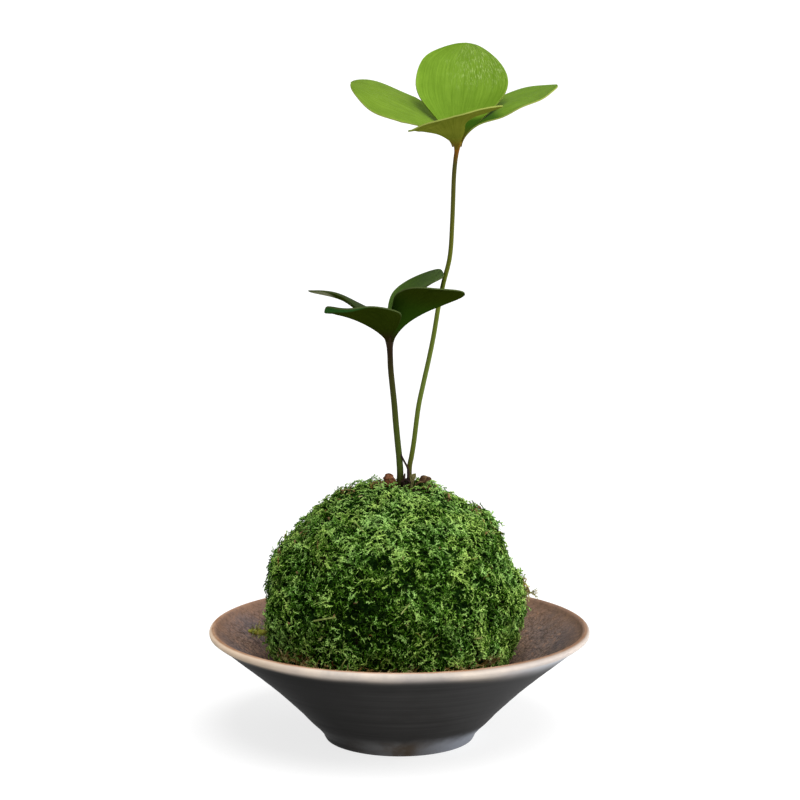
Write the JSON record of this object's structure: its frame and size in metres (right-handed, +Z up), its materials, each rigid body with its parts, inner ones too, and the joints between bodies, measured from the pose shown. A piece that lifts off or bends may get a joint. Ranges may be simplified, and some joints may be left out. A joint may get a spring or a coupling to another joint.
{
  "type": "kokedama moss ball plant",
  "caption": "Moss-wrapped soil ball with two slender stalks, each topped by a whorl of fan-shaped leaflets, resting in a shallow glazed bowl.",
  "frame": {"origin": "middle of the bowl's foot, on the surface that it stands on", "axes": "+Z up; the picture's view looks along +Y with +X to the right"},
  "size_m": [0.12, 0.12, 0.2181],
  "materials": {
    "bowl_glaze": "satin charcoal glaze outside, mottled brown crackled glaze inside, pale rim",
    "moss": "matt, dense curled moss shoots",
    "soil": "dark damp soil",
    "tall_stalk": "smooth olive green stalk",
    "short_stalk": "smooth dark olive brown stalk",
    "rhizome": "reddish brown, rough",
    "dry_scale": "dry, papery",
    "tall_leaf": "smooth light green with fine fan veins",
    "short_leaf": "smooth dark green with fine fan veins"
  },
  "bodies": {
    "root": {"bowl": "bowl_glaze", "moss_cover": "moss", "soil_ball": "soil", "tall_stalk": "tall_stalk", "short_stalk": "short_stalk", "rhizome_tip": "rhizome", "dry_scale": "dry_scale", "tall_leaf_back": "tall_leaf", "tall_leaf_left": "tall_leaf", "tall_leaf_right": "tall_leaf", "tall_leaf_front": "tall_leaf", "short_leaf_front_left": "short_leaf", "short_leaf_front_right": "short_leaf", "short_leaf_back_right": "short_leaf", "short_leaf_back_left": "short_leaf"}
  },
  "joints": []
}
